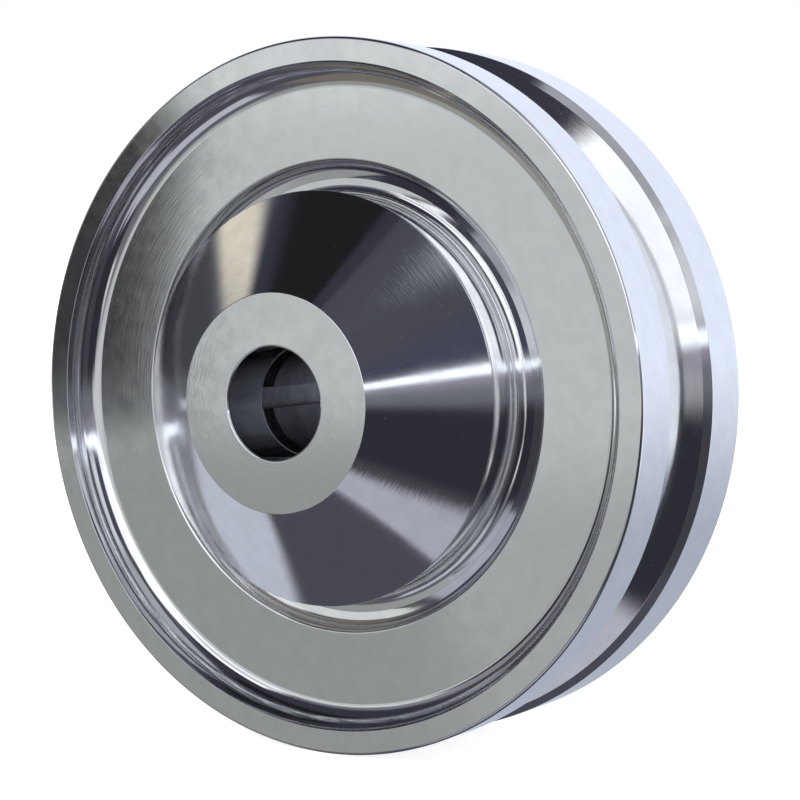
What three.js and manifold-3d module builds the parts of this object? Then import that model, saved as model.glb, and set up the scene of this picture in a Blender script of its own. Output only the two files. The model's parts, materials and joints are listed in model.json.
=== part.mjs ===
// A polished supercharger drive pulley on the bearing carrier that bolts to the supercharger's front.
// Millimetres. The pulley turns about Y and its front faces -Y. The origin is the centre of the
// carrier's mounting face, so the whole assembly lies at negative Y.
//
// Turned pieces are outlines of [radius, depth]: depth runs rearwards from the front rim's face.
import * as THREE from "three";
import { mergeVertices } from "three/addons/utils/BufferGeometryUtils.js";
import Module from "manifold-3d";

const wasm = await Module();
wasm.setup();

// ---- driving dimensions ----
const GAP = 0.3; // clearance left between two pieces that touch
const MOUNT_DEPTH = 70; // from the front rim's face to the carrier's mounting face

const RIM_R = 79.375; // 6 1/4 in pulley
const RIM_INNER_R = 73.95; // inner edge of the front rim's flat face
const FRONT_RIM_END = 12.5;
const REAR_RIM_START = 32.85;
const REAR_RIM_END = 46.6;
const EDGE = 0.5; // small chamfer on turned edges

const GROOVE_SHOULDER_R = 77.3; // where the flanks of the belt groove start
const GROOVE_FLOOR_R = 62;
const FRONT_FLANK_TOP = 14.15;
const FRONT_FLANK_FOOT = 20.7;
const REAR_FLANK_TOP = 31.25;
const REAR_FLANK_FOOT = 24.7;
const SPLIT_DEPTH = 22.5; // the two sheave halves meet in the groove's floor

const WEB_FRONT = 6.2; // the recessed front face of the web
const WEB_BACK = 15.5;
const WEB_EDGE_R = 53.3; // the web's edge at the ring channel round the hub
const WEB_FILLET_R = 68.7; // where the web starts to curve up to the rim
const WEB_BORE_R = 24;
const CHANNEL_FLOOR = 9.6;
const CHANNEL_INNER_R = 49;
const SPIGOT_R = 58; // the rear half centres in this bore of the front half
const REAR_FLANGE_INNER_R = 41;
const REAR_FLANGE_BACK = 22.3;

const HUB_FACE = -17.73;
const HUB_FACE_R = 23.8; // 1 7/8 in flat annular face
const CONE_BASE = -2.24;
const CONE_BASE_R = 45.9;
const HUB_FOOT_R = 44.6; // undercut behind the cone's edge
const HUB_SEAT_R = 48.7;
const HUB_BACK = 10.4;
const COUNTERBORE_R = 12.14;
const SLEEVE_SEAT = -5.6; // the hub's inner shoulder in front of the sleeve

const BORE_R = 11.1125; // 7/8 in shaft
const KEY_WIDTH = 4.76; // 3/16 in key
const KEY_DEPTH = 2.4;
const SLEEVE_SPIGOT_R = 17;
const SLEEVE_FLANGE_R = 37;
const SLEEVE_FLANGE_FRONT = WEB_BACK + GAP;
const SLEEVE_FLANGE_BACK = 20.8;
const SLEEVE_SHOULDER_R = 20.5;
const SLEEVE_END = 69.5;
const JOURNAL_R = 17.5; // 35 mm bearing seat

const BEARING_R = 31; // 35 x 62 x 14 mm deep groove ball bearings
const BEARING_HALF_WIDTH = 7;
const FRONT_BEARING = 37;
const REAR_BEARING = 54.6;
const BALL_R = 3.7;
const BALL_CIRCLE_R = 24.25;
const BALLS = 8;
const RACEWAY_R = BALL_R + 0.5;
const INNER_RACE_R = 21.9;
const OUTER_RACE_BORE_R = 26.6;
const CAGE_HALF_WIDTH = 5.3;
const CAGE_HALF_THICKNESS = 1.3;

const CARRIER_FRONT = 27.5;
const CARRIER_LIP_BACK = FRONT_BEARING - BEARING_HALF_WIDTH - GAP;
const CARRIER_LIP_R = 28.5;
const CARRIER_TUBE_R = 38;
const CARRIER_FLANGE_R = 52;
const CARRIER_FLANGE_FRONT = 58;
const RING_GROOVE_R = 32.6;
const RING_GROOVE_FRONT = 61.7;
const RING_GROOVE_BACK = 63.7;
const O_RING_R = 35.8;
const O_RING_SECTION_R = 1.1;
const O_RING_GROOVE_FLOOR = 67.3;
const CARRIER_BOLT_CIRCLE_R = 45;
const CARRIER_BOLT_HOLE_R = 4.3;
const CARRIER_BOLTS = 4;

const NUT_R = 24;
const NUT_FRONT = 63.4;
const NUT_BACK = 68.9;
const NUT_SLOTS = 4;

const HUB_SCREWS = 6; // M6 low head
const HUB_SCREW_CIRCLE_R = 30;
const SHEAVE_SCREWS = 6; // M5 low head
const SHEAVE_SCREW_CIRCLE_R = 48;
const DOWELS = 2;

const WIDE = 40; // facets round the pulley and carrier
const NARROW = 24; // facets round the bearings
const SMALL = 8; // facets round screws and holes

// ---- materials ----
const material = (color, roughness, metalness) => new THREE.MeshStandardMaterial({ color, roughness, metalness });
const chrome = material(0xd5d9dd, 0.06, 1);
const machinedSteel = material(0x8f9296, 0.3, 1);
const bearingSteel = material(0xb4b8bc, 0.15, 1);
const cageSteel = material(0xa08a58, 0.4, 1);
const blackSteel = material(0x26272a, 0.45, 0.8);
const castAluminium = material(0xa5a8ab, 0.5, 1);
const rubber = material(0x171718, 0.8, 0);

// ---- helpers ----
const assembly = new THREE.Group();
assembly.position.y = -MOUNT_DEPTH;

function place(name, geometry, finish) {
  const mesh = new THREE.Mesh(geometry, finish);
  mesh.name = name;
  assembly.add(mesh);
  return mesh;
}

// A closed [radius, depth] outline turned about Y, with its faces pointing out.
function turned(outline, facets = WIDE) {
  let doubleArea = 0;
  outline.forEach(([r, d], i) => {
    const [nextR, nextD] = outline[(i + 1) % outline.length];
    doubleArea += r * nextD - nextR * d;
  });
  const ordered = doubleArea > 0 ? outline : [...outline].reverse();
  const points = [...ordered, ordered[0]].map(([r, d]) => new THREE.Vector2(r, d));
  return new THREE.LatheGeometry(points, facets);
}

const ring = (inner, outer, front, back, facets) =>
  turned([[inner, front], [outer, front], [outer, back], [inner, back]], facets);

// Points on an ellipse's arc, angles in degrees from the +radius direction towards +depth.
function arc([centreR, centreD], [alongR, alongD], from, to, steps) {
  const points = [];
  for (let i = 0; i <= steps; i++) {
    const angle = THREE.MathUtils.degToRad(from + ((to - from) * i) / steps);
    points.push([centreR + alongR * Math.cos(angle), centreD + alongD * Math.sin(angle)]);
  }
  return points;
}

function solid(source) {
  const bare = source.clone();
  bare.deleteAttribute("normal");
  bare.deleteAttribute("uv");
  const merged = mergeVertices(bare, 1e-4);
  const index = merged.index.array;
  const triangles = [];
  for (let i = 0; i < index.length; i += 3) {
    const [a, b, c] = [index[i], index[i + 1], index[i + 2]];
    if (a !== b && b !== c && c !== a) triangles.push(a, b, c);
  }
  const vertProperties = new Float32Array(merged.attributes.position.array);
  return new wasm.Manifold(new wasm.Mesh({ numProp: 3, vertProperties, triVerts: new Uint32Array(triangles) }));
}

function geometryOf(manifold) {
  const { vertProperties, triVerts } = manifold.getMesh();
  const geometry = new THREE.BufferGeometry();
  geometry.setAttribute("position", new THREE.BufferAttribute(vertProperties, 3));
  geometry.setIndex(new THREE.BufferAttribute(triVerts, 1));
  geometry.computeVertexNormals();
  return geometry;
}

function cut(body, tools) {
  const cutTools = tools.map(solid);
  return geometryOf(cutTools.reduce((left, tool) => left.subtract(tool), solid(body)));
}

// Evenly spaced places on a circle about Y, starting at an angle in degrees from +X.
function circle(count, radius, start = 0) {
  return Array.from({ length: count }, (_, i) => {
    const angle = THREE.MathUtils.degToRad(start + (360 * i) / count);
    return { x: radius * Math.cos(angle), z: radius * Math.sin(angle), angle };
  });
}

function hole({ x, z }, radius, front, back) {
  const cylinder = new THREE.CylinderGeometry(radius, radius, back - front, SMALL);
  return cylinder.translate(x, (front + back) / 2, z);
}

const hubScrewPlaces = circle(HUB_SCREWS, HUB_SCREW_CIRCLE_R);
const sheaveScrewPlaces = circle(SHEAVE_SCREWS, SHEAVE_SCREW_CIRCLE_R, 30);
const dowelPlaces = circle(DOWELS, SHEAVE_SCREW_CIRCLE_R);
const HUB_HOLE_R = 3.4;
const SHEAVE_HOLE_R = 2.9;
const SHEAVE_HOLE_TOP = 11.6; // the blind holes stop short of the channel

// ---- the pulley ----
function frontSheave() {
  const outline = [
    [WEB_BORE_R, HUB_BACK + GAP],
    [CHANNEL_INNER_R, HUB_BACK + GAP],
    [CHANNEL_INNER_R, CHANNEL_FLOOR],
    [WEB_EDGE_R - 2.2, CHANNEL_FLOOR],
    [WEB_EDGE_R - 1.1, CHANNEL_FLOOR - 1.3],
    [WEB_EDGE_R - 0.7, WEB_FRONT + 0.5],
    [WEB_EDGE_R, WEB_FRONT],
    ...arc([WEB_FILLET_R, 0], [RIM_INNER_R - WEB_FILLET_R, WEB_FRONT], 90, 0, 4),
    [RIM_R - EDGE, 0],
    [RIM_R, EDGE],
    [RIM_R, FRONT_RIM_END],
    [GROOVE_SHOULDER_R, FRONT_FLANK_TOP],
    [GROOVE_FLOOR_R, FRONT_FLANK_FOOT],
    [GROOVE_FLOOR_R, SPLIT_DEPTH],
    [SPIGOT_R, SPLIT_DEPTH],
    [SPIGOT_R, WEB_BACK],
    [WEB_BORE_R, WEB_BACK],
  ];
  const holes = [
    ...hubScrewPlaces.map((at) => hole(at, HUB_HOLE_R, 0, WEB_BACK + 5)),
    ...sheaveScrewPlaces.map((at) => hole(at, SHEAVE_HOLE_R, SHEAVE_HOLE_TOP, WEB_BACK + 5)),
    ...dowelPlaces.map((at) => hole(at, SHEAVE_HOLE_R, SHEAVE_HOLE_TOP, WEB_BACK + 5)),
  ];
  place("front_sheave", cut(turned(outline), holes), chrome);
}

function rearSheave() {
  const front = WEB_BACK + GAP;
  const rimInner = 72;
  const outline = [
    [SPIGOT_R - GAP, SPLIT_DEPTH + GAP],
    [GROOVE_FLOOR_R, SPLIT_DEPTH + GAP],
    [GROOVE_FLOOR_R, REAR_FLANK_FOOT],
    [GROOVE_SHOULDER_R, REAR_FLANK_TOP],
    [RIM_R, REAR_RIM_START],
    [RIM_R, REAR_RIM_END - EDGE],
    [RIM_R - EDGE, REAR_RIM_END],
    [rimInner + EDGE, REAR_RIM_END],
    [rimInner, REAR_RIM_END - EDGE],
    [rimInner, 39],
    [rimInner - 2, 37],
    [60, 33.6],
    [56.5, 30],
    [56.5, 24.3],
    [54.5, REAR_FLANGE_BACK],
    [REAR_FLANGE_INNER_R, REAR_FLANGE_BACK],
    [REAR_FLANGE_INNER_R, front],
    [SPIGOT_R - GAP, front],
  ];
  const holes = [...sheaveScrewPlaces, ...dowelPlaces].map((at) => hole(at, SHEAVE_HOLE_R, 10, 30));
  place("rear_sheave", cut(turned(outline), holes), chrome);
}

function hubCone() {
  const outline = [
    [COUNTERBORE_R + EDGE, HUB_FACE],
    [HUB_FACE_R, HUB_FACE],
    [CONE_BASE_R, CONE_BASE],
    [CONE_BASE_R - 0.2, CONE_BASE + 1],
    [HUB_FOOT_R, CHANNEL_FLOOR - 2],
    [HUB_FOOT_R + 0.4, CHANNEL_FLOOR - 0.5],
    [HUB_FOOT_R + 1.6, CHANNEL_FLOOR],
    [HUB_SEAT_R, CHANNEL_FLOOR],
    [HUB_SEAT_R, HUB_BACK],
    [SLEEVE_SPIGOT_R + GAP, HUB_BACK],
    [SLEEVE_SPIGOT_R + GAP, SLEEVE_SEAT],
    [COUNTERBORE_R, SLEEVE_SEAT],
    [COUNTERBORE_R, HUB_FACE + EDGE],
  ];
  const holes = hubScrewPlaces.map((at) => hole(at, HUB_HOLE_R, -4, HUB_BACK + 5));
  place("hub_cone", cut(turned(outline), holes), chrome);
}

function driveSleeve() {
  const front = SLEEVE_SEAT + GAP;
  const outline = [
    [COUNTERBORE_R - 0.1, front],
    [SLEEVE_SPIGOT_R, front],
    [SLEEVE_SPIGOT_R, HUB_BACK + GAP],
    [WEB_BORE_R - GAP, HUB_BACK + GAP],
    [WEB_BORE_R - GAP, SLEEVE_FLANGE_FRONT],
    [SLEEVE_FLANGE_R, SLEEVE_FLANGE_FRONT],
    [SLEEVE_FLANGE_R, SLEEVE_FLANGE_BACK],
    [SLEEVE_SHOULDER_R, SLEEVE_FLANGE_BACK],
    [SLEEVE_SHOULDER_R, CARRIER_LIP_BACK],
    [JOURNAL_R, CARRIER_LIP_BACK],
    [JOURNAL_R, SLEEVE_END - 1],
    [JOURNAL_R - 1, SLEEVE_END],
    [BORE_R, SLEEVE_END],
    [BORE_R, front + 2.7],
  ];
  const length = SLEEVE_END - front + 20;
  const keyway = new THREE.BoxGeometry(KEY_DEPTH + 4, length, KEY_WIDTH);
  keyway.translate(-(BORE_R + KEY_DEPTH) + (KEY_DEPTH + 4) / 2, (front + SLEEVE_END) / 2, 0);
  const holes = hubScrewPlaces.map((at) => hole(at, HUB_HOLE_R, 10, 30));
  place("drive_sleeve", cut(turned(outline), [keyway, ...holes]), machinedSteel);
}

// A socket head screw along Y with its head at the rear: tip, underside and top of the head are depths.
function screw(name, { x, z }, { shankR, headR, socketR, tip, under, top }) {
  const outline = [
    [0, tip],
    [shankR, tip],
    [shankR, under],
    [headR, under],
    [headR, top],
    [socketR, top],
    [socketR, (under + top) / 2],
    [0, (under + top) / 2],
  ];
  const mesh = place(name, turned(outline, SMALL), blackSteel);
  mesh.position.set(x, 0, z);
}

function pulleyFasteners() {
  const washerFront = SLEEVE_FLANGE_BACK + GAP;
  const hubScrew = { shankR: 3, headR: 5, socketR: 2.3, tip: -2, under: washerFront + 1.3, top: washerFront + 5.3 };
  const sheaveUnder = REAR_FLANGE_BACK + GAP;
  const sheaveScrew = { shankR: 2.5, headR: 4.25, socketR: 1.8, tip: SHEAVE_HOLE_TOP + 0.4, under: sheaveUnder, top: sheaveUnder + 3.5 };
  hubScrewPlaces.forEach((at, i) => {
    screw(`hub_screw_${i + 1}`, at, hubScrew);
    const washer = ring(3.4, 5, washerFront, washerFront + 1, SMALL);
    place(`hub_screw_washer_${i + 1}`, washer, blackSteel).position.set(at.x, 0, at.z);
  });
  sheaveScrewPlaces.forEach((at, i) => screw(`sheave_screw_${i + 1}`, at, sheaveScrew));
  dowelPlaces.forEach((at, i) => place(`dowel_pin_${i + 1}`, hole(at, 2.5, SHEAVE_HOLE_TOP + 0.4, 21.8), bearingSteel));
}

// ---- the two bearings ----
function bearing(end, centre, sealSide) {
  const front = centre - BEARING_HALF_WIDTH;
  const back = centre + BEARING_HALF_WIDTH;
  const raceway = [BALL_CIRCLE_R, centre];
  const section = [RACEWAY_R, RACEWAY_R];
  // Each raceway's arc runs between the angles where it meets the race's shoulders.
  const innerSpan = THREE.MathUtils.radToDeg(Math.acos((BALL_CIRCLE_R - INNER_RACE_R) / RACEWAY_R));
  const outerSpan = THREE.MathUtils.radToDeg(Math.acos((OUTER_RACE_BORE_R - BALL_CIRCLE_R) / RACEWAY_R));
  const innerOutline = [
    [JOURNAL_R + GAP, front],
    [INNER_RACE_R, front],
    ...arc(raceway, section, 180 + innerSpan, 180 - innerSpan, 4),
    [INNER_RACE_R, back],
    [JOURNAL_R + GAP, back],
  ];
  const outerOutline = [
    [BEARING_R, front],
    [OUTER_RACE_BORE_R, front],
    ...arc(raceway, section, -outerSpan, outerSpan, 4),
    [OUTER_RACE_BORE_R, back],
    [BEARING_R, back],
  ];
  place(`${end}_bearing_inner_race`, turned(innerOutline, NARROW), bearingSteel);
  place(`${end}_bearing_outer_race`, turned(outerOutline, NARROW), bearingSteel);

  const ballPlaces = circle(BALLS, BALL_CIRCLE_R);
  const cage = ring(
    BALL_CIRCLE_R - CAGE_HALF_THICKNESS,
    BALL_CIRCLE_R + CAGE_HALF_THICKNESS,
    centre - CAGE_HALF_WIDTH,
    centre + CAGE_HALF_WIDTH,
    NARROW,
  );
  const pockets = ballPlaces.map(({ x, z, angle }) => {
    const pocket = new THREE.CylinderGeometry(BALL_R + 0.4, BALL_R + 0.4, 4 * CAGE_HALF_THICKNESS, SMALL);
    return pocket.rotateZ(Math.PI / 2).rotateY(-angle).translate(x, centre, z);
  });
  place(`${end}_bearing_cage`, cut(cage, pockets), cageSteel);
  ballPlaces.forEach(({ x, z }, i) => {
    const ball = new THREE.SphereGeometry(BALL_R, 8, 6);
    place(`${end}_bearing_ball_${i + 1}`, ball, bearingSteel).position.set(x, centre, z);
  });

  const sealFront = centre + sealSide * (BEARING_HALF_WIDTH - 0.6) - 0.5;
  const seal = ring(INNER_RACE_R + 0.4, OUTER_RACE_BORE_R - GAP, sealFront, sealFront + 1, NARROW);
  place(`${end}_bearing_seal`, seal, rubber);
}

function bearingFittings() {
  const spacerFront = FRONT_BEARING + BEARING_HALF_WIDTH + GAP;
  const spacerBack = REAR_BEARING - BEARING_HALF_WIDTH - GAP;
  const stackEnd = REAR_BEARING + BEARING_HALF_WIDTH + GAP;
  place("inner_race_spacer", ring(JOURNAL_R + GAP, 21, spacerFront, spacerBack, NARROW), machinedSteel);
  place("outer_race_spacer", ring(28, BEARING_R, spacerFront, spacerBack, NARROW), machinedSteel);

  const ringGap = new THREE.BoxGeometry(9, 10, 12).translate(BEARING_R, stackEnd, 0);
  const retainer = ring(28.6, RING_GROOVE_R - GAP, stackEnd + 0.2, RING_GROOVE_BACK - GAP, NARROW);
  place("retaining_ring", cut(retainer, [ringGap]), blackSteel);

  const washer = solid(ring(JOURNAL_R + GAP, 21.5, stackEnd, NUT_FRONT - GAP, NARROW));
  const tabs = circle(NUT_SLOTS, 22, 45).map(({ x, z, angle }) => {
    const tab = new THREE.BoxGeometry(4, NUT_FRONT - GAP - stackEnd, 3).rotateY(-angle);
    return solid(tab.translate(x, (NUT_FRONT - GAP + stackEnd) / 2, z));
  });
  place("tab_washer", geometryOf(tabs.reduce((whole, tab) => whole.add(tab), washer)), machinedSteel);

  const slots = circle(NUT_SLOTS, NUT_R, 45).map(({ x, z, angle }) => {
    const slot = new THREE.BoxGeometry(5, 20, 4).rotateY(-angle);
    return slot.translate(x, NUT_BACK, z);
  });
  place("lock_nut", cut(ring(JOURNAL_R + GAP, NUT_R, NUT_FRONT, NUT_BACK, NARROW), slots), blackSteel);
}

// ---- the fixed carrier ----
function bearingCarrier() {
  const bore = BEARING_R + GAP;
  const grooveInner = O_RING_R - O_RING_SECTION_R - GAP;
  const grooveOuter = O_RING_R + O_RING_SECTION_R + GAP;
  const outline = [
    [CARRIER_LIP_R, CARRIER_FRONT],
    [CARRIER_TUBE_R - 1, CARRIER_FRONT],
    [CARRIER_TUBE_R, CARRIER_FRONT + 1],
    [CARRIER_TUBE_R, CARRIER_FLANGE_FRONT - 2],
    [CARRIER_TUBE_R + 2, CARRIER_FLANGE_FRONT],
    [CARRIER_FLANGE_R - 1, CARRIER_FLANGE_FRONT],
    [CARRIER_FLANGE_R, CARRIER_FLANGE_FRONT + 1],
    [CARRIER_FLANGE_R, MOUNT_DEPTH],
    [grooveOuter, MOUNT_DEPTH],
    [grooveOuter, O_RING_GROOVE_FLOOR],
    [grooveInner, O_RING_GROOVE_FLOOR],
    [grooveInner, MOUNT_DEPTH],
    [bore, MOUNT_DEPTH],
    [bore, RING_GROOVE_BACK],
    [RING_GROOVE_R, RING_GROOVE_BACK],
    [RING_GROOVE_R, RING_GROOVE_FRONT],
    [bore, RING_GROOVE_FRONT],
    [bore, CARRIER_LIP_BACK],
    [CARRIER_LIP_R, CARRIER_LIP_BACK],
  ];
  const holes = circle(CARRIER_BOLTS, CARRIER_BOLT_CIRCLE_R, 45).map((at) =>
    hole(at, CARRIER_BOLT_HOLE_R, CARRIER_FLANGE_FRONT - 5, MOUNT_DEPTH + 5),
  );
  place("bearing_carrier", cut(turned(outline), holes), castAluminium);

  const section = [O_RING_SECTION_R, O_RING_SECTION_R];
  const oRing = arc([O_RING_R, O_RING_GROOVE_FLOOR + GAP + O_RING_SECTION_R], section, 0, 315, 7);
  place("flange_o_ring", turned(oRing, NARROW), rubber);
}

frontSheave();
rearSheave();
hubCone();
driveSleeve();
pulleyFasteners();
bearing("front", FRONT_BEARING, -1);
bearing("rear", REAR_BEARING, 1);
bearingFittings();
bearingCarrier();

export default assembly;
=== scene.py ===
"""A polished supercharger drive pulley on its bearing carrier, seen from the front right of the pulley.

Outlines are [radius, depth, corner radius] in millimetres. Depth runs rearwards from the front rim's
face, along +Y, and the pulley turns about Y. Everything that is drawn is in metres, in the CAD frame.
"""

import json
import math

import bmesh
import bpy
from mathutils import Matrix, Vector


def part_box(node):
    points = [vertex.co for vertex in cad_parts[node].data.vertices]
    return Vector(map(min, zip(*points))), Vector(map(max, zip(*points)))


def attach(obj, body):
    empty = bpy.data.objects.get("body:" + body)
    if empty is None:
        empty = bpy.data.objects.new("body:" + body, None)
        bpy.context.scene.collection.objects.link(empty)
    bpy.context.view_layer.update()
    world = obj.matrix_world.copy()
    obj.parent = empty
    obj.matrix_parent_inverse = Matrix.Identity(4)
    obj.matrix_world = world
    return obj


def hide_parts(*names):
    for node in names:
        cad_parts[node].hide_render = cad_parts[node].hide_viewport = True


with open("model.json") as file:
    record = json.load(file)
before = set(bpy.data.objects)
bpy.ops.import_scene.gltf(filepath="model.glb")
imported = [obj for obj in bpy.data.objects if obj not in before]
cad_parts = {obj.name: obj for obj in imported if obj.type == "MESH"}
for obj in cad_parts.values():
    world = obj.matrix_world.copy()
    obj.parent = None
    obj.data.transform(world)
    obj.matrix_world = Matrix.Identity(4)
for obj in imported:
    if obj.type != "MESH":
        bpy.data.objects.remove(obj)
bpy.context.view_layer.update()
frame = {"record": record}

MM = 0.001

# ---- places taken from the frame ----
RIM_LOW, RIM_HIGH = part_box("front_sheave")
FACE_Y = RIM_LOW.y  # the front rim's face
RIM_R = RIM_HIGH.x / MM


def depth_of(y):
    """Depth in millimetres of a place along Y in metres."""
    return (y - FACE_Y) / MM


def radial_box(node):
    """(outer radius, front depth, back depth) of a turned CAD node."""
    low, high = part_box(node)
    return high.z / MM, depth_of(low.y), depth_of(high.y)


_, _, REAR_RIM_END = radial_box("rear_sheave")
_, HUB_FACE, HUB_BACK = radial_box("hub_cone")
SLEEVE_FLANGE_R, SLEEVE_FRONT, SLEEVE_END = radial_box("drive_sleeve")
CARRIER_FLANGE_R, CARRIER_FRONT, MOUNT_DEPTH = radial_box("bearing_carrier")

# ---- sizes in millimetres ----
FIT = 0.03  # clearance between pieces that touch
AROUND_WIDE = 384  # steps round the pulley and carrier
AROUND_NARROW = 192  # steps round the bearings
AROUND_SMALL = 48  # steps round screws and holes

RIM_INNER_R = 73.95
FRONT_RIM_END = 12.5
REAR_RIM_START = 32.85
GROOVE_SHOULDER_R = 77.8
GROOVE_FLOOR_R = 62
FRONT_FLANK_TOP = 13.8
FRONT_FLANK_FOOT = 20
REAR_FLANK_TOP = 31.6
REAR_FLANK_FOOT = 25.4
SPLIT_DEPTH = 22.5  # the two sheave halves meet in the groove's floor
SPIGOT_R = 58  # the rear half centres in this bore of the front half
REAR_RIM_INNER_R = 72
REAR_POCKET_DEPTH = 38
REAR_DISH_R = 60
REAR_DISH_DEPTH = 33.6
REAR_FLANGE_R = 56.5
REAR_FLANGE_ROOT = 30

WEB_FRONT = 6.2
WEB_BACK = 15.5
WEB_EDGE_R = 53.3
WEB_FILLET_R = 68.7
WEB_BORE_R = 24
CHANNEL_FLOOR = 9.6
REAR_FLANGE_INNER_R = 41
REAR_FLANGE_BACK = 22.3

HUB_FACE_R = 23.8
CONE_BASE = -2.24
CONE_BASE_R = 45.9
FOOT_R = 44.6  # undercut behind the cone's edge
SEAM_R = 48.7  # where the hub meets the front sheave, in the channel's floor
SHEAVE_HOLE_TOP = 11.6  # the blind holes stop short of the channel
COUNTERBORE_R = 12.14
SLEEVE_SEAT = SLEEVE_FRONT - 0.3

BORE_R = 11.1125
BORE_STEP = 2.7  # how far the keyed bore starts behind the sleeve's front
KEY_WIDTH = 4.76
KEY_DEPTH = 2.4
SLEEVE_SPIGOT_R = 17
SLEEVE_FLANGE_BACK = 20.8
SLEEVE_SHOULDER_R = 20.5
JOURNAL_R = 17.5

BEARING_R = 31
BEARING_HALF_WIDTH = 7
BEARING_DEPTHS = {"front": 37, "rear": 54.6}
BALL_R = 3.7
BALL_CIRCLE_R = 24.25
BALLS = 8
RACEWAY_R = BALL_R + 0.15
INNER_RACE_R = 21.9
OUTER_RACE_BORE_R = 26.6
CAGE_HALF_WIDTH = 5.3
CAGE_HALF_THICKNESS = 1.3

CARRIER_LIP_BACK = BEARING_DEPTHS["front"] - BEARING_HALF_WIDTH - 0.3
SLEEVE_SHOULDER_END = CARRIER_LIP_BACK + 0.25
CARRIER_LIP_R = 28.5
CARRIER_TUBE_R = 38
CARRIER_FLANGE_FRONT = 58
RING_GROOVE_R = 32.6
RING_GROOVE_FRONT = 61.7
RING_GROOVE_BACK = 63.7
O_RING_R = 35.8
O_RING_SECTION_R = 1.1
O_RING_GROOVE_FLOOR = 67.3
CARRIER_BOLT_CIRCLE_R = 45
CARRIER_BOLT_HOLE_R = 4.3
CARRIER_BOLTS = 4

NUT_R = 24
NUT_FRONT = 63.4
NUT_BACK = 68.9
NUT_SLOTS = 4

HUB_SCREWS = 6
HUB_SCREW_CIRCLE_R = 30
HUB_HOLE_R = 3.4
SHEAVE_SCREWS = 6
SHEAVE_SCREW_CIRCLE_R = 48
SHEAVE_HOLE_R = 2.9
SHEAVE_SCREW_TIP = SHEAVE_HOLE_TOP + 0.4
HUB_SCREW_TIP = -2
HUB_SCREW = {"shank": 3, "head": 5, "head_height": 4, "key": 4, "pitch": 1.0}
SHEAVE_SCREW = {"shank": 2.5, "head": 4.25, "head_height": 3.5, "key": 3, "pitch": 0.8}
DOWELS = 2
DOWEL_R = 2.6
DOWEL_BACK = 21.8


# ---- mesh helpers ----
SHARP_EDGE = math.radians(28)  # steeper folds than this are drawn as real edges


def rounded(outline, steps=6, margin=0.06):
    """A closed [radius, depth, corner radius] outline as points, with arcs at its corners.

    A point a little way in from each corner keeps the shading of the flat stretches flat.
    """
    corners = [(Vector(point[:2]), point[2] if len(point) > 2 else 0) for point in outline]
    stretches = []
    for i, (corner, size) in enumerate(corners):
        before = corners[i - 1][0] - corner
        after = corners[(i + 1) % len(corners)][0] - corner
        if size == 0:
            stretches.append([corner])
            continue
        half_angle = before.angle(after) / 2
        reach = size / math.tan(half_angle)
        start = corner + before.normalized() * reach
        end = corner + after.normalized() * reach
        inward = (before.normalized() + after.normalized()).normalized()
        centre = corner + inward * size / math.sin(half_angle)
        sweep = (start - centre).angle_signed(end - centre)
        turn = [Matrix.Rotation(-sweep * k / steps, 2) for k in range(steps + 1)]
        stretches.append([centre + rotation @ (start - centre) for rotation in turn])
    points = []
    for i, stretch in enumerate(stretches):
        points += stretch
        here, there = stretch[-1], stretches[(i + 1) % len(stretches)][0]
        gap = (there - here).length
        if gap > 6 * margin:
            points.append(here.lerp(there, margin / gap))
            points.append(there.lerp(here, margin / gap))
    return points


def arc(centre, reach, start, end, steps):
    """Points on an ellipse's arc, in degrees from the outward radius towards +depth."""
    points = []
    for i in range(steps + 1):
        angle = math.radians(start + (end - start) * i / steps)
        points.append((centre[0] + reach[0] * math.cos(angle), centre[1] + reach[1] * math.sin(angle)))
    return points


def new_object(name, mesh):
    """An object for a mesh, shaded smooth except across real edges."""
    mesh.polygons.foreach_set("use_smooth", [True] * len(mesh.polygons))
    mesh.set_sharp_from_angle(angle=SHARP_EDGE)
    made = bpy.data.objects.new(name, mesh)
    bpy.context.scene.collection.objects.link(made)
    return made


def turned(name, outline, around=AROUND_WIDE, at=(0, 0)):
    """A solid of revolution about Y, or about a line parallel to it through at = (x, z)."""
    points = rounded(outline)
    count = len(points)
    vertices = []
    for step in range(around):
        angle = math.tau * step / around
        for radius, depth in points:
            x = (at[0] + radius * math.cos(angle)) * MM
            z = (at[1] + radius * math.sin(angle)) * MM
            vertices.append((x, FACE_Y + depth * MM, z))
    faces = []
    for step in range(around):
        near, far = step * count, (step + 1) % around * count
        for i in range(count):
            j = (i + 1) % count
            faces.append((near + i, far + i, far + j, near + j))
    return new_object(name, mesh_from(name, vertices, faces))


def mesh_from(name, vertices, faces):
    """A closed mesh with its doubled points merged and its faces pointing out."""
    build = bmesh.new()
    made = [build.verts.new(v) for v in vertices]
    for face in faces:
        build.faces.new([made[i] for i in face])
    bmesh.ops.remove_doubles(build, verts=build.verts, dist=1e-7)
    bmesh.ops.dissolve_degenerate(build, edges=build.edges, dist=1e-8)
    bmesh.ops.recalc_face_normals(build, faces=build.faces)
    mesh = bpy.data.meshes.new(name)
    build.to_mesh(mesh)
    build.free()
    return mesh


def ring(name, inner, outer, front, back, corner=0.2, around=AROUND_NARROW, at=(0, 0)):
    """A plain turned ring with small rounded corners."""
    corners = [(inner, front, corner), (outer, front, corner), (outer, back, corner), (inner, back, corner)]
    return turned(name, corners, around, at)


def rod(radius, front, back, at, around=AROUND_SMALL):
    """A round cutter along Y."""
    outline = [(0, front), (radius, front), (radius, back), (0, back)]
    return turned("cutter", outline, around, at)


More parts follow.
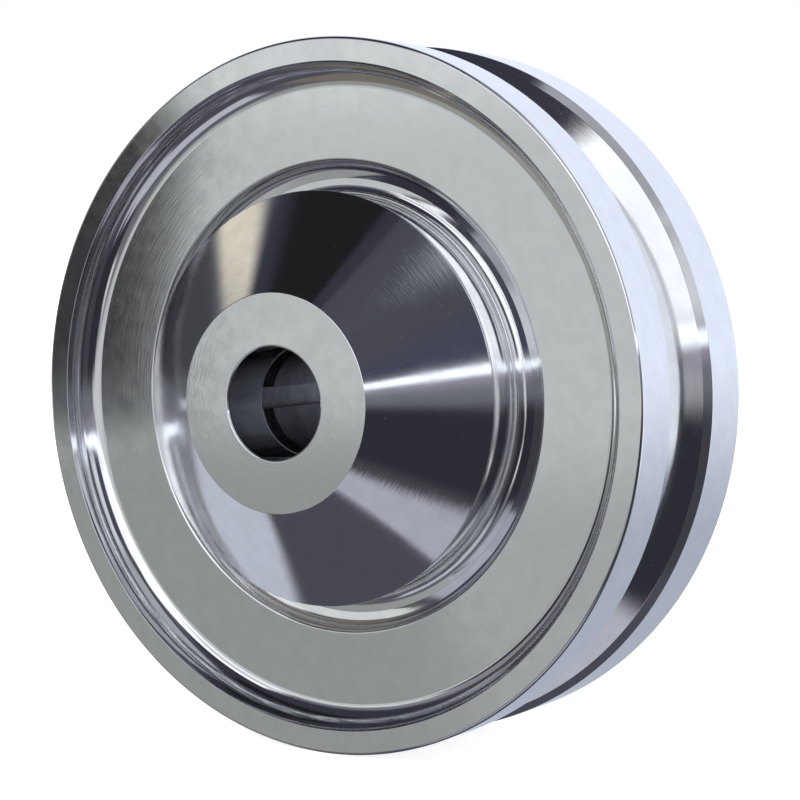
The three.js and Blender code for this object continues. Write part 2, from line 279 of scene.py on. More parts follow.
def block(size, centre, turn=0):
    """A box cutter, sized in millimetres along x, depth and z, turned about Y."""
    build = bmesh.new()
    bmesh.ops.create_cube(build, size=MM)
    bmesh.ops.scale(build, vec=size, verts=build.verts)
    place = Vector((centre[0] * MM, FACE_Y + centre[1] * MM, centre[2] * MM))
    bmesh.ops.transform(
        build,
        matrix=Matrix.Translation(place) @ Matrix.Rotation(turn, 4, "Y"),
        verts=build.verts,
    )
    mesh = bpy.data.meshes.new("cutter")
    build.to_mesh(mesh)
    build.free()
    return new_object("cutter", mesh)


def boolean(piece, tools, operation="DIFFERENCE"):
    """Cuts the tools out of a piece, or joins them to it, and removes the tools."""
    for tool in tools:
        modifier = piece.modifiers.new("cut", "BOOLEAN")
        modifier.operation = operation
        modifier.solver = "EXACT"
        modifier.object = tool
    bpy.context.view_layer.update()
    evaluated = piece.evaluated_get(bpy.context.evaluated_depsgraph_get())
    mesh = bpy.data.meshes.new_from_object(evaluated)
    piece.modifiers.clear()
    piece.data = mesh
    mesh.set_sharp_from_angle(angle=SHARP_EDGE)
    for tool in tools:
        bpy.data.objects.remove(tool)
    return piece


def circle(count, radius, start=0):
    """Evenly spaced (x, z, angle) on a circle about Y, starting at an angle in degrees from +X."""
    places = []
    for i in range(count):
        angle = math.radians(start + 360 * i / count)
        places.append((radius * math.cos(angle), radius * math.sin(angle), angle))
    return places


hub_screw_places = circle(HUB_SCREWS, HUB_SCREW_CIRCLE_R)
sheave_screw_places = circle(SHEAVE_SCREWS, SHEAVE_SCREW_CIRCLE_R, 30)
dowel_places = circle(DOWELS, SHEAVE_SCREW_CIRCLE_R)


# ---- node helpers ----
def srgb(red, green, blue):
    """A colour given as it looks on a screen, 0 to 255, in the renderer's linear values."""
    linear = []
    for value in (red, green, blue):
        share = value / 255
        linear.append(share / 12.92 if share <= 0.04045 else ((share + 0.055) / 1.055) ** 2.4)
    return (*linear, 1)


def add(tree, kind, inputs=None, **settings):
    """A node with its settings, and its inputs set to values or linked to sockets."""
    node = tree.nodes.new(kind)
    for key, value in settings.items():
        setattr(node, key, value)
    for key, value in (inputs or {}).items():
        if isinstance(value, bpy.types.NodeSocket):
            tree.links.new(value, node.inputs[key])
        else:
            node.inputs[key].default_value = value
    return node


def calc(tree, operation, *values):
    """A Math node's result."""
    return add(tree, "ShaderNodeMath", dict(enumerate(values)), operation=operation).outputs[0]


def blend_colours(tree, factor, first, second):
    """A Mix node's colour, first at factor 0 and second at factor 1."""
    node = tree.nodes.new("ShaderNodeMix")
    node.data_type = "RGBA"
    for index, value in ((0, factor), (6, first), (7, second)):
        if isinstance(value, bpy.types.NodeSocket):
            tree.links.new(value, node.inputs[index])
        else:
            node.inputs[index].default_value = value
    return node.outputs[2]


def stretch(tree, value, low, high, to_low=0.0, to_high=1.0):
    """A value's range stretched smoothly to another range."""
    inputs = {"Value": value, "From Min": low, "From Max": high, "To Min": to_low, "To Max": to_high}
    return add(tree, "ShaderNodeMapRange", inputs, interpolation_type="SMOOTHSTEP").outputs[0]


def round_axis(tree):
    """(radius, place along Y, angle about Y) of the shaded point, in millimetres and radians."""
    place = add(tree, "ShaderNodeTexCoord").outputs["Object"]
    split = add(tree, "ShaderNodeSeparateXYZ", {0: place}).outputs
    across = calc(tree, "MULTIPLY", split[0], 1 / MM)
    along = calc(tree, "MULTIPLY", split[1], 1 / MM)
    up = calc(tree, "MULTIPLY", split[2], 1 / MM)
    radius = calc(tree, "SQRT", calc(tree, "ADD", calc(tree, "POWER", across, 2), calc(tree, "POWER", up, 2)))
    return radius, along, calc(tree, "ARCTAN2", up, across)


def noise(tree, vector, scale, detail=2.0, roughness=0.5):
    """A noise texture's value, about 0.5 on average."""
    inputs = {"Vector": vector, "Scale": scale, "Detail": detail, "Roughness": roughness}
    return add(tree, "ShaderNodeTexNoise", inputs).outputs["Fac"]


def turned_vector(tree, around):
    """Coordinates that run along the marks a lathe leaves. Around is the marks' number round the axis."""
    radius, along, angle = round_axis(tree)
    inputs = {
        0: calc(tree, "MULTIPLY_ADD", along, 0.7, radius),
        1: calc(tree, "MULTIPLY", calc(tree, "COSINE", angle), around),
        2: calc(tree, "MULTIPLY", calc(tree, "SINE", angle), around),
    }
    return add(tree, "ShaderNodeCombineXYZ", inputs).outputs[0]


def new_material(name):
    """(material, tree, principled shader) with nothing but the shader and the output."""
    material = bpy.data.materials.new(name)
    material.use_nodes = True
    tree = material.node_tree
    return material, tree, tree.nodes["Principled BSDF"]


def link(tree, source, shader, socket):
    """Links a node's result to a socket of the shader."""
    tree.links.new(source, shader.inputs[socket])


def add_bump(tree, height, strength, distance, normal=None):
    """A Bump node's normal. Distance is in millimetres."""
    inputs = {"Height": height, "Strength": strength, "Distance": distance * MM}
    if normal is not None:
        inputs["Normal"] = normal
    return add(tree, "ShaderNodeBump", inputs).outputs[0]


# ---- materials ----
def polished_metal(name, tint, roughness, marks):
    """Polished metal with faint turned marks, cloudy buffing and a few tiny pits."""
    material, tree, shader = new_material(name)
    place = add(tree, "ShaderNodeTexCoord").outputs["Object"]
    fine = noise(tree, turned_vector(tree, 4.0), 2.2, 3.0, 0.6)
    cloud = noise(tree, place, 220.0, 4.0, 0.6)
    speck = noise(tree, place, 2600.0, 2.0, 0.5)
    pits = stretch(tree, speck, 0.72, 0.78)
    dull = tuple(value * 0.94 for value in tint[:3]) + (1,)
    colour = blend_colours(tree, stretch(tree, cloud, 0.3, 0.7), tint, dull)
    link(tree, blend_colours(tree, pits, colour, srgb(226, 228, 236)), shader, "Base Color")
    shine = stretch(tree, cloud, 0.25, 0.75, roughness * 0.7, roughness * 1.3)
    link(tree, calc(tree, "ADD", shine, calc(tree, "MULTIPLY", pits, 0.3)), shader, "Roughness")
    shader.inputs["Metallic"].default_value = 1.0
    ripples = add_bump(tree, cloud, 0.1, 0.01)
    link(tree, add_bump(tree, fine, 0.5, 0.006 * marks, ripples), shader, "Normal")
    return material


def machined_metal(name, tint, roughness, marks, metallic=1.0):
    """Metal with plain turned marks and uneven sheen."""
    material, tree, shader = new_material(name)
    place = add(tree, "ShaderNodeTexCoord").outputs["Object"]
    fine = noise(tree, turned_vector(tree, 0.5), 5.0, 3.0, 0.6)
    cloud = noise(tree, place, 160.0, 4.0, 0.6)
    dull = tuple(value * 0.7 for value in tint[:3]) + (1,)
    link(tree, blend_colours(tree, stretch(tree, cloud, 0.3, 0.7), tint, dull), shader, "Base Color")
    link(tree, stretch(tree, fine, 0.2, 0.8, roughness * 0.75, roughness * 1.25), shader, "Roughness")
    shader.inputs["Metallic"].default_value = metallic
    link(tree, add_bump(tree, fine, 0.5, 0.012 * marks), shader, "Normal")
    return material


def cast_metal(name, tint):
    """Bead-blasted casting with a fine grain."""
    material, tree, shader = new_material(name)
    place = add(tree, "ShaderNodeTexCoord").outputs["Object"]
    grain = noise(tree, place, 2200.0, 3.0, 0.6)
    cloud = noise(tree, place, 90.0, 4.0, 0.6)
    dull = tuple(value * 0.78 for value in tint[:3]) + (1,)
    link(tree, blend_colours(tree, stretch(tree, cloud, 0.3, 0.7), tint, dull), shader, "Base Color")
    link(tree, stretch(tree, grain, 0.3, 0.7, 0.38, 0.56), shader, "Roughness")
    shader.inputs["Metallic"].default_value = 1.0
    link(tree, add_bump(tree, grain, 0.6, 0.06), shader, "Normal")
    return material


def black_rubber(name):
    """Moulded rubber with a faint grain."""
    material, tree, shader = new_material(name)
    place = add(tree, "ShaderNodeTexCoord").outputs["Object"]
    grain = noise(tree, place, 1800.0, 3.0, 0.6)
    link(tree, blend_colours(tree, grain, srgb(22, 22, 24), srgb(38, 38, 40)), shader, "Base Color")
    link(tree, stretch(tree, grain, 0.3, 0.7, 0.55, 0.75), shader, "Roughness")
    link(tree, add_bump(tree, grain, 0.4, 0.03), shader, "Normal")
    return material


MATERIALS = {
    "chrome": polished_metal("polished", srgb(240, 241, 243), 0.07, 1.0),
    "machined_steel": machined_metal("machined_steel", srgb(168, 168, 170), 0.3, 0.7),
    "bearing_steel": machined_metal("bearing_steel", srgb(206, 208, 212), 0.12, 0.3),
    "cage_brass": machined_metal("cage_brass", srgb(205, 178, 110), 0.3, 1.0),
    "black_steel": machined_metal("black_steel", srgb(58, 58, 62), 0.36, 0.6, 0.7),
    "cast_aluminium": cast_metal("cast_aluminium", srgb(196, 198, 200)),
    "rubber": black_rubber("rubber"),
}
# The cone shows its turned marks more than the other polished pieces do.
CONE_POLISH = polished_metal("polished_cone", srgb(240, 241, 243), 0.08, 2.0)
SLOT_OF = {part["node"]: part["material_slot"] for part in frame["record"]["subparts"]}
BODY_OF = {}
for body_name, members in frame["record"]["behaviour"]["bodies"].items():
    for member in members:
        BODY_OF[member] = body_name


def stand_for(piece, node, material=None):
    """The piece takes a CAD node's place, body and material."""
    piece.data.materials.clear()
    piece.data.materials.append(material or MATERIALS[SLOT_OF[node]])
    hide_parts(node)
    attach(piece, BODY_OF[node])


# ---- the pulley ----
def make_front_sheave():
    outline = [
        (WEB_BORE_R, HUB_BACK + FIT, 0.2),
        (SEAM_R + FIT, HUB_BACK + FIT),
        (SEAM_R + FIT, CHANNEL_FLOOR),
        (WEB_EDGE_R - 1.5, CHANNEL_FLOOR - 0.5, 2.0),
        (WEB_EDGE_R - 0.8, WEB_FRONT, 0.8),
        *arc((WEB_FILLET_R, 0), (RIM_INNER_R - WEB_FILLET_R, WEB_FRONT), 90, 3, 24),
        (RIM_INNER_R, 0, 0.12),
        (RIM_R, 0, 0.65),
        (RIM_R, FRONT_RIM_END, 0.3),
        (GROOVE_SHOULDER_R, FRONT_FLANK_TOP, 0.3),
        (GROOVE_FLOOR_R, FRONT_FLANK_FOOT, 0.8),
        (GROOVE_FLOOR_R, SPLIT_DEPTH, 0.1),
        (SPIGOT_R, SPLIT_DEPTH, 0.1),
        (SPIGOT_R, WEB_BACK),
        (WEB_BORE_R, WEB_BACK, 0.2),
    ]
    piece = turned("front_sheave_turned", outline)
    tools = [rod(HUB_HOLE_R, 0, WEB_BACK + 5, at[:2]) for at in hub_screw_places]
    places = sheave_screw_places + dowel_places
    tools += [rod(SHEAVE_HOLE_R, SHEAVE_HOLE_TOP, WEB_BACK + 5, at[:2]) for at in places]
    stand_for(boolean(piece, tools), "front_sheave")


def make_rear_sheave():
    front = WEB_BACK + FIT
    outline = [
        (SPIGOT_R - FIT, SPLIT_DEPTH + FIT),
        (GROOVE_FLOOR_R, SPLIT_DEPTH + FIT, 0.1),
        (GROOVE_FLOOR_R, REAR_FLANK_FOOT, 0.8),
        (GROOVE_SHOULDER_R, REAR_FLANK_TOP, 0.3),
        (RIM_R, REAR_RIM_START, 0.3),
        (RIM_R, REAR_RIM_END, 0.65),
        (REAR_RIM_INNER_R, REAR_RIM_END, 0.5),
        (REAR_RIM_INNER_R, REAR_POCKET_DEPTH, 2),
        (REAR_DISH_R, REAR_DISH_DEPTH, 3),
        (REAR_FLANGE_R, REAR_FLANGE_ROOT, 3),
        (REAR_FLANGE_R, REAR_FLANGE_BACK, 1.6),
        (REAR_FLANGE_INNER_R, REAR_FLANGE_BACK, 0.4),
        (REAR_FLANGE_INNER_R, front, 0.2),
        (SPIGOT_R - FIT, front, 0.3),
    ]
    piece = turned("rear_sheave_turned", outline)
    places = sheave_screw_places + dowel_places
    tools = [rod(SHEAVE_HOLE_R, 10, 30, at[:2]) for at in places]  # through the flange and past it
    stand_for(boolean(piece, tools), "rear_sheave")


def make_hub_cone():
    outline = [
        (COUNTERBORE_R, HUB_FACE, 0.5),
        (HUB_FACE_R, HUB_FACE, 0.3),
        (CONE_BASE_R, CONE_BASE, 0.25),
        (CONE_BASE_R - 0.3, CONE_BASE + 1.0, 0.3),
        (FOOT_R, CHANNEL_FLOOR, 2.5),
        (SEAM_R, CHANNEL_FLOOR),
        (SEAM_R, HUB_BACK),
        (SLEEVE_SPIGOT_R + FIT, HUB_BACK, 0.2),
        (SLEEVE_SPIGOT_R + FIT, SLEEVE_SEAT),
        (COUNTERBORE_R, SLEEVE_SEAT, 0.1),
    ]
    piece = turned("hub_cone_turned", outline)
    tools = [rod(HUB_HOLE_R, -4, HUB_BACK + 5, at[:2]) for at in hub_screw_places]
    stand_for(boolean(piece, tools), "hub_cone", CONE_POLISH)


def make_drive_sleeve():
    front = SLEEVE_SEAT + FIT
    outline = [
        (COUNTERBORE_R - 0.1, front, 0.1),
        (SLEEVE_SPIGOT_R, front, 0.2),
        (SLEEVE_SPIGOT_R, HUB_BACK + FIT),
        (WEB_BORE_R - FIT, HUB_BACK + FIT, 0.3),
        (WEB_BORE_R - FIT, WEB_BACK + FIT),
        (SLEEVE_FLANGE_R, WEB_BACK + FIT, 0.3),
        (SLEEVE_FLANGE_R, SLEEVE_FLANGE_BACK, 0.5),
        (SLEEVE_SHOULDER_R, SLEEVE_FLANGE_BACK, 0.8),
        (SLEEVE_SHOULDER_R, SLEEVE_SHOULDER_END, 0.3),
        (JOURNAL_R, SLEEVE_SHOULDER_END),
        (JOURNAL_R, SLEEVE_END, 0.8),
        (BORE_R, SLEEVE_END, 0.4),
        (BORE_R, front + BORE_STEP, 0.9),
    ]
    piece = turned("drive_sleeve_turned", outline)
    length = SLEEVE_END - front + 20
    across = KEY_DEPTH + 4
    middle = (-(BORE_R + KEY_DEPTH) + across / 2, (front + SLEEVE_END) / 2, 0)
    tools = [block((across, length, KEY_WIDTH), middle)]
    tools += [rod(HUB_HOLE_R, 10, 30, at[:2]) for at in hub_screw_places]
    stand_for(boolean(piece, tools), "drive_sleeve")


# ---- screws ----
def hexagon(across_flats, front, back, at):
    """A six-sided cutter along Y."""
    return rod(across_flats / math.sqrt(3), front, back, at, 6)


def make_screw(node, at, size, tip, under):
    """A socket head screw along Y, with its head at the rear and rolled threads on its shank.

    Tip and under are the depths of its tip and of its head's underside.
    """
    shank, head, pitch = size["shank"], size["head"], size["pitch"]
    top = under + size["head_height"]
    outline = [(0, tip), (shank - 0.5, tip)]
    depth = tip + 0.5
    while depth < under - 2 * pitch:
        outline += [(shank, depth), (shank - 0.45 * pitch, depth + pitch / 2)]
        depth += pitch
    outline += [
        (shank, depth),
        (shank, under),
        (head, under, 0.1),
        (head, top, 0.35),
        (0, top),
    ]
    piece = turned(node + "_turned", outline, AROUND_SMALL, at)
    stand_for(boolean(piece, [hexagon(size["key"], (under + top) / 2, top + 2, at)]), node)


def make_pulley_fasteners():
    washer_front = SLEEVE_FLANGE_BACK + FIT
    head_seat = radial_box("hub_screw_1")[2] - HUB_SCREW["head_height"]
    for i, at in enumerate(hub_screw_places, 1):
        make_screw(f"hub_screw_{i}", at[:2], HUB_SCREW, HUB_SCREW_TIP, head_seat)
        name = f"hub_screw_washer_{i}_turned"
        washer = ring(name, 3.2, 5.3, washer_front, head_seat - FIT, 0.15, AROUND_SMALL, at[:2])
        stand_for(washer, f"hub_screw_washer_{i}")
    for i, at in enumerate(sheave_screw_places, 1):
        make_screw(f"sheave_screw_{i}", at[:2], SHEAVE_SCREW, SHEAVE_SCREW_TIP, REAR_FLANGE_BACK + FIT)
    for i, at in enumerate(dowel_places, 1):
        front, back = SHEAVE_SCREW_TIP, DOWEL_BACK
        outline = [(0, front), (DOWEL_R, front, 0.4), (DOWEL_R, back, 0.4), (0, back)]
        stand_for(turned(f"dowel_pin_{i}_turned", outline, AROUND_SMALL, at[:2]), f"dowel_pin_{i}")


# ---- the two bearings ----
def make_bearing(end, seal_side):
    centre = BEARING_DEPTHS[end]
    front = centre - BEARING_HALF_WIDTH
    back = centre + BEARING_HALF_WIDTH
    inner_span = math.degrees(math.acos((BALL_CIRCLE_R - INNER_RACE_R) / RACEWAY_R))
    outer_span = math.degrees(math.acos((OUTER_RACE_BORE_R - BALL_CIRCLE_R) / RACEWAY_R))
    raceway = (BALL_CIRCLE_R, centre)
    section = (RACEWAY_R, RACEWAY_R)
    inner = [
        (JOURNAL_R + FIT, front, 0.6),
        (INNER_RACE_R, front, 0.3),
        *arc(raceway, section, 180 + inner_span, 180 - inner_span, 16),
        (INNER_RACE_R, back, 0.3),
        (JOURNAL_R + FIT, back, 0.6),
    ]
    outer = [
        (BEARING_R, front, 0.6),
        (OUTER_RACE_BORE_R, front, 0.3),
        *arc(raceway, section, -outer_span, outer_span, 16),
        (OUTER_RACE_BORE_R, back, 0.3),
        (BEARING_R, back, 0.6),
    ]
    stand_for(turned(f"{end}_inner_race_turned", inner, AROUND_NARROW), f"{end}_bearing_inner_race")
    stand_for(turned(f"{end}_outer_race_turned", outer, AROUND_NARROW), f"{end}_bearing_outer_race")

    places = circle(BALLS, BALL_CIRCLE_R)
    for i, (x, z, _) in enumerate(places, 1):
        half_round = arc((0, centre), (BALL_R, BALL_R), -90, 90, 24)
        ball = turned(f"{end}_ball_{i}_ground", half_round, AROUND_SMALL, (x, z))
        stand_for(ball, f"{end}_bearing_ball_{i}")

    cage = ring(
        f"{end}_cage_turned",
        BALL_CIRCLE_R - CAGE_HALF_THICKNESS,
        BALL_CIRCLE_R + CAGE_HALF_THICKNESS,
        centre - CAGE_HALF_WIDTH,
        centre + CAGE_HALF_WIDTH,
        0.3,
    )
    reach = 4 * CAGE_HALF_THICKNESS
    pockets = [radial_rod(RACEWAY_R, BALL_CIRCLE_R, reach, centre, angle) for _, _, angle in places]
    stand_for(boolean(cage, pockets), f"{end}_bearing_cage")

    outside = centre + seal_side * (BEARING_HALF_WIDTH - 0.1)
    inside = outside - seal_side
    dished = outside - seal_side * 0.3
    seal = [
        (INNER_RACE_R + 0.15, inside, 0.2),
        (INNER_RACE_R + 0.15, outside, 0.2),
        (INNER_RACE_R + 1.1, outside, 0.1),
        (INNER_RACE_R + 1.4, dished, 0.1),
        (OUTER_RACE_BORE_R - 1.4, dished, 0.1),
        (OUTER_RACE_BORE_R - 1.1, outside, 0.1),
        (OUTER_RACE_BORE_R - FIT, outside, 0.2),
        (OUTER_RACE_BORE_R - FIT, inside, 0.2),
    ]
    stand_for(turned(f"{end}_seal_moulded", seal, AROUND_NARROW), f"{end}_bearing_seal")


def radial_rod(radius, at_radius, length, depth, angle):
    """A round cutter along a radius of the bearing."""
    build = bmesh.new()
    bmesh.ops.create_cone(
        build,
        cap_ends=True,
        segments=AROUND_SMALL,
        radius1=radius * MM,
        radius2=radius * MM,
        depth=length * MM,
    )
    place = Matrix.Translation((0, FACE_Y + depth * MM, 0))
    turn = Matrix.Rotation(-angle, 4, "Y") @ Matrix.Translation((at_radius * MM, 0, 0))
    lay_down = Matrix.Rotation(math.pi / 2, 4, "Y")
    bmesh.ops.transform(build, matrix=place @ turn @ lay_down, verts=build.verts)
    mesh = bpy.data.meshes.new("cutter")
    build.to_mesh(mesh)
    build.free()
    return new_object("cutter", mesh)


def make_bearing_fittings():
    spacer_front = BEARING_DEPTHS["front"] + BEARING_HALF_WIDTH + FIT
    spacer_back = BEARING_DEPTHS["rear"] - BEARING_HALF_WIDTH - FIT
    stack_end = BEARING_DEPTHS["rear"] + BEARING_HALF_WIDTH + FIT
    inner = ring("inner_race_spacer_turned", JOURNAL_R + FIT, 21, spacer_front, spacer_back)
    stand_for(inner, "inner_race_spacer")
    outer = ring("outer_race_spacer_turned", 28, BEARING_R, spacer_front, spacer_back)
    stand_for(outer, "outer_race_spacer")

    ring_back = RING_GROOVE_BACK - 0.1
    retainer = ring("retaining_ring_bent", 28.6, RING_GROOVE_R - 0.2, stack_end + 0.1, ring_back, 0.15)
    gap = block((9, 10, 12), (BEARING_R, stack_end, 0))
    stand_for(boolean(retainer, [gap]), "retaining_ring")

    washer_back = NUT_FRONT - FIT
    washer = ring("tab_washer_stamped", JOURNAL_R + FIT, 21.5, stack_end, washer_back, 0.1)
    size = (4, washer_back - stack_end - 0.05, 3)
    tabs = [block(size, (x, (washer_back + stack_end) / 2, z), -a) for x, z, a in circle(NUT_SLOTS, 22, 45)]
    stand_for(boolean(washer, tabs, "UNION"), "tab_washer")

    nut = ring("lock_nut_turned", JOURNAL_R + FIT, NUT_R, NUT_FRONT, NUT_BACK, 0.6)
    slots = [block((5, 20, 4), (x, NUT_BACK, z), -a) for x, z, a in circle(NUT_SLOTS, NUT_R, 45)]
    stand_for(boolean(nut, slots), "lock_nut")


# ---- the fixed carrier ----
def make_bearing_carrier():
    bore = BEARING_R + FIT
    groove_inner = O_RING_R - O_RING_SECTION_R - 0.3
    groove_outer = O_RING_R + O_RING_SECTION_R + 0.3
    outline = [
        (CARRIER_LIP_R, CARRIER_FRONT, 0.4),
        (CARRIER_TUBE_R, CARRIER_FRONT, 0.8),
        (CARRIER_TUBE_R, CARRIER_FLANGE_FRONT, 2),
        (CARRIER_FLANGE_R, CARRIER_FLANGE_FRONT, 0.8),
        (CARRIER_FLANGE_R, MOUNT_DEPTH, 0.4),
        (groove_outer, MOUNT_DEPTH, 0.1),
        (groove_outer, O_RING_GROOVE_FLOOR, 0.2),
        (groove_inner, O_RING_GROOVE_FLOOR, 0.2),
        (groove_inner, MOUNT_DEPTH, 0.1),
        (bore, MOUNT_DEPTH, 0.4),
        (bore, RING_GROOVE_BACK, 0.05),
        (RING_GROOVE_R, RING_GROOVE_BACK, 0.05),
        (RING_GROOVE_R, RING_GROOVE_FRONT, 0.05),
        (bore, RING_GROOVE_FRONT, 0.05),
        (bore, CARRIER_LIP_BACK, 0.1),
        (CARRIER_LIP_R, CARRIER_LIP_BACK, 0.2),
    ]
    piece = turned("bearing_carrier_cast", outline)
    places = circle(CARRIER_BOLTS, CARRIER_BOLT_CIRCLE_R, 45)
    tools = [rod(CARRIER_BOLT_HOLE_R, CARRIER_FLANGE_FRONT - 5, MOUNT_DEPTH + 5, at[:2]) for at in places]
    stand_for(boolean(piece, tools), "bearing_carrier")

    section = (O_RING_SECTION_R, O_RING_SECTION_R)
    centre = (O_RING_R, O_RING_GROOVE_FLOOR + 0.3 + O_RING_SECTION_R)
    o_ring = arc(centre, section, 0, 345, 23)
    stand_for(turned("flange_o_ring_moulded", o_ring, AROUND_NARROW), "flange_o_ring")


# ---- studio ----
# The surroundings that the metal mirrors. Azimuth 0 is straight ahead of the pulley's face, towards -Y,
# and grows towards +X. Later patches lie over earlier ones, and a colour above 255 is a light.
# name: azimuth, elevation, half width, half height, softness, colour, lean, rise
# Lean is how far a patch's sides move in azimuth per degree of elevation, and rise the other way about.
# The two patches straight behind are there twice, because azimuth jumps from 180 to -180 there.
STUDIO_STRENGTH = 1.14
PATCHES = {
    "back_low": (180, -20, 62, 22, 22, (166, 172, 186), 0, 0),
    "back_low_left": (-180, -20, 62, 22, 22, (166, 172, 186), 0, 0),
    "back_high": (180, 24, 62, 34, 30, (226, 233, 250), 0, 0),
    "back_high_left": (-180, 24, 62, 34, 30, (226, 233, 250), 0, 0),
    "right_wall": (84, 42, 42, 30, 14, (205, 208, 212), 0, 0),
    "ceiling_right": (27, 58, 30, 18, 10, (158, 161, 166), 0, 0),
    "right_low": (55, -24, 50, 20, 10, (62, 63, 68), 0, 0),
    "ceiling_dark": (-42, 48, 42, 26, 10, (52, 52, 62), -0.35, 0),
    "ceiling_black": (-48, 56, 30, 7, 5, (30, 30, 32), 0, 0.12),
    "left_dark": (-76, 10, 14, 17, 6, (66, 66, 68), 0, 0),
    "left_grey": (-52, 11, 12, 7, 6, (130, 131, 138), 0, 0),
    "left_low": (-60, -33, 22, 17, 8, (112, 107, 100), 0, 0),
    "front_low": (-48, -12, 17, 10, 8, (148, 147, 142), 0, 0),
    "floor_card": (-4, -44, 26, 11, 5, (176, 177, 188), 0, 0),
    "floor_card_right": (25, -50, 12, 7, 3, (166, 167, 177), 0, 0.5),
    "window_glow": (-9, 2, 26, 10, 8, (194, 195, 198), 0, 0),
    "window": (-9, 18, 20, 16, 2.5, (262, 264, 268), 0.2, 0),
    "window_shade": (-22, 20, 7, 6, 4, (200, 202, 206), 0, 0),
    "below_window": (-13, -16, 13, 6, 6, (108, 109, 112), 0, 0),
    "spot_low": (0, -15, 6, 3.5, 3, (200, 200, 200), 0, -0.5),
    "right_dark": (24, -20, 19, 15, 6, (44, 45, 52), 0, 0),
    "side_light": (-68, -5, 14, 1.0, 1.4, (240, 243, 248), 0, 0.05),
    "cream_card": (-90, 31, 4.5, 7, 6, (216, 208, 192), 1.0, 0),
    "low_left_card": (-98, -30, 13, 20, 5, (182, 186, 198), -0.4, 0),
    "front_card": (-33.5, -1, 8.8, 9, 2.0, (186, 189, 189), 0, 0),
    "front_card_low": (-40, -11, 8.5, 6.2, 2, (143, 146, 144), 0, 0),
    "front_dark": (-44.2, 0.6, 5.6, 5.4, 0.8, (84, 86, 88), 0.1, 0),
    "right_violet": (36, 23, 9, 11, 5, (66, 67, 86), 0, 0),
    "back_right": (118, 20, 24, 40, 14, (236, 240, 248), 0, 0),
    "front_low_right": (-27, -11, 4.5, 5, 3, (162, 164, 163), 0, 0),
    "front_card_top": (-33.5, 6.4, 8, 3.0, 2, (207, 210, 210), 0, 0),
    "front_black": (-45.4, 0.8, 5.8, 4.2, 1.0, (50, 50, 52), 0.1, 0),
    "left_far": (-107, 12, 13, 12, 6, (64, 66, 70), 0, 0),
    "ceiling_mid": (14, 42, 20, 9, 4, (70, 71, 80), 0, -0.9),
    "window_right": (15, 16, 8, 13, 4, (250, 252, 256), -0.2, 0),
    "streak_glow": (44, 7.6, 34, 3.4, 5, (136, 132, 146), 0, 0.13),
    "streak": (44, 9.3, 34, 1.7, 2.2, (272, 280, 290), 0, 0.13),
}


def patch_mask(tree, azimuth, elevation, patch):
    """1 inside a patch and 0 outside, with soft edges."""
    middle, height, half_width, half_height, soft, _, lean, rise = patch
    across = calc(tree, "SUBTRACT", azimuth, middle)
    upward = calc(tree, "SUBTRACT", elevation, height)
    leaned = calc(tree, "MULTIPLY_ADD", upward, -lean, across) if lean else across
    raised = calc(tree, "MULTIPLY_ADD", across, -rise, upward) if rise else upward
    wide = stretch(tree, calc(tree, "ABSOLUTE", leaned), half_width + soft / 2, half_width - soft / 2)
    high = stretch(tree, calc(tree, "ABSOLUTE", raised), half_height + soft / 2, half_height - soft / 2)
    return calc(tree, "MULTIPLY", wide, high)


def build_world():
    world = bpy.data.worlds.new("studio")
    world.use_nodes = True
    tree = world.node_tree
    tree.nodes.clear()
    direction = add(tree, "ShaderNodeTexCoord").outputs["Generated"]
    split = add(tree, "ShaderNodeSeparateXYZ", {0: direction}).outputs
    forward = calc(tree, "MULTIPLY", split[1], -1.0)
    azimuth = calc(tree, "DEGREES", calc(tree, "ARCTAN2", split[0], forward))
    elevation = calc(tree, "DEGREES", calc(tree, "ARCSINE", split[2]))
    colour = blend_colours(tree, stretch(tree, elevation, -55, 5), srgb(72, 72, 82), srgb(108, 110, 116))
    for patch in PATCHES.values():
        mask = patch_mask(tree, azimuth, elevation, patch)
        colour = blend_colours(tree, mask, colour, srgb(*patch[5]))
    studio = add(tree, "ShaderNodeBackground", {"Color": colour, "Strength": STUDIO_STRENGTH}).outputs[0]
    backdrop = add(tree, "ShaderNodeBackground", {"Color": (1, 1, 1, 1), "Strength": 1.0}).outputs[0]
    seen = add(tree, "ShaderNodeLightPath").outputs["Is Camera Ray"]
    mix = add(tree, "ShaderNodeMixShader", {0: seen, 1: studio, 2: backdrop}).outputs[0]
    add(tree, "ShaderNodeOutputWorld", {"Surface": mix})
    world.cycles.sampling_method = "MANUAL"
    world.cycles.sample_map_resolution = 1024
    bpy.context.scene.world = world


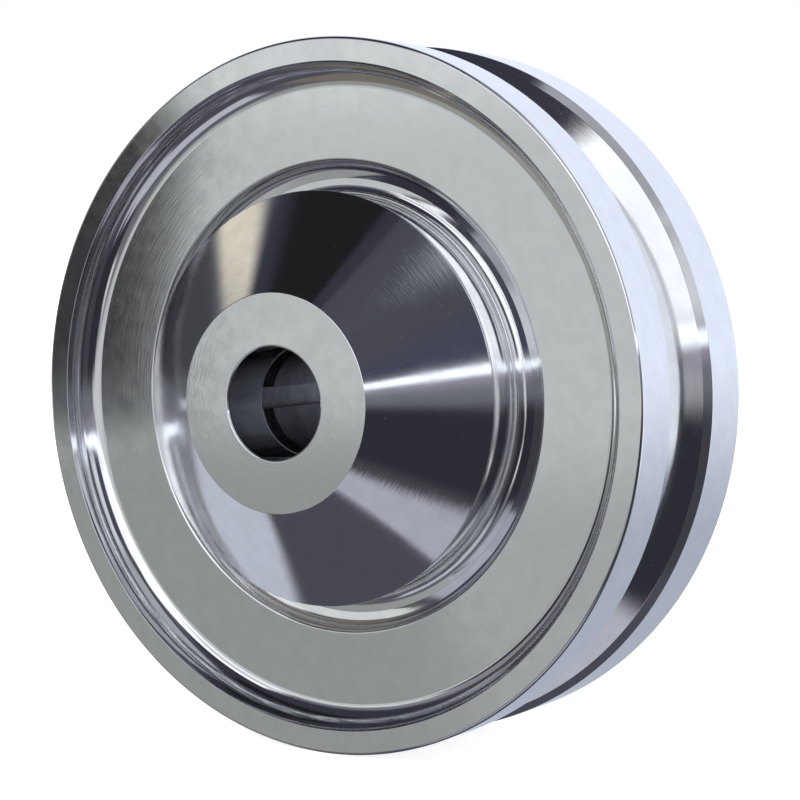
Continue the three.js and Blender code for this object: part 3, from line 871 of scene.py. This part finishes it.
def build_floor():
    """A plain pale floor just under the rims, out to the pale backdrop."""
    build = bmesh.new()
    bmesh.ops.create_grid(build, x_segments=1, y_segments=1, size=20)
    mesh = bpy.data.meshes.new("floor")
    build.to_mesh(mesh)
    build.free()
    floor = new_object("floor", mesh)
    floor.location = (0, 0, RIM_LOW.z - 0.05 * MM)
    material, tree, shader = new_material("pale_floor")
    shader.inputs["Base Color"].default_value = (0.8, 0.8, 0.8, 1)
    shader.inputs["Roughness"].default_value = 0.9
    shader.inputs["Emission Color"].default_value = (1, 1, 1, 1)
    shader.inputs["Emission Strength"].default_value = 0.8
    mesh.materials.append(material)
    floor.visible_glossy = False


def build_lights():
    """Two large soft lights, left out of the metal's reflections, which show the studio round it."""
    for name, place, power in (("key_light", (-0.5, -0.7, 0.7), 5), ("fill_light", (0.7, -0.5, 0.5), 3)):
        data = bpy.data.lights.new(name, "AREA")
        data.shape = "DISK"
        data.size = 0.6
        data.energy = power
        light = bpy.data.objects.new(name, data)
        bpy.context.scene.collection.objects.link(light)
        light.location = place
        light.rotation_euler = Vector(place).to_track_quat("Z", "Y").to_euler()
        light.visible_glossy = False


# ---- camera ----
CAMERA_AZIMUTH = 33.1  # degrees to the right of straight ahead
CAMERA_ELEVATION = 4.12
CAMERA_LENS = 100.4
CAMERA_DISTANCE = 6.2096  # in rim radii, along the view to the front rim's centre
RIM_ASIDE = 0.2207  # how far left of the view's middle the rim's centre lies, in rim radii
RIM_ABOVE = 0.0038


def build_camera():
    turn, tilt = math.radians(CAMERA_AZIMUTH), math.radians(CAMERA_ELEVATION)
    right = Vector((math.cos(turn), math.sin(turn), 0))
    forward = Vector((-math.sin(turn) * math.cos(tilt), math.cos(turn) * math.cos(tilt), -math.sin(tilt)))
    up = right.cross(forward)
    rim_centre = Vector((0, FACE_Y, 0))
    offset = RIM_ASIDE * right - RIM_ABOVE * up - CAMERA_DISTANCE * forward
    data = bpy.data.cameras.new("camera")
    data.lens = CAMERA_LENS
    data.sensor_width = 36
    data.clip_start = 0.01
    camera = bpy.data.objects.new("camera", data)
    bpy.context.scene.collection.objects.link(camera)
    facing = Matrix((right, up, -forward)).transposed().to_4x4()
    camera.matrix_world = Matrix.Translation(rim_centre + offset * RIM_R * MM) @ facing
    bpy.context.scene.camera = camera


build_camera()
make_front_sheave()
make_rear_sheave()
make_hub_cone()
make_drive_sleeve()
make_pulley_fasteners()
make_bearing("front", -1)
make_bearing("rear", 1)
make_bearing_fittings()
make_bearing_carrier()
build_world()
build_floor()
build_lights()
bpy.context.scene.view_settings.view_transform = "Standard"
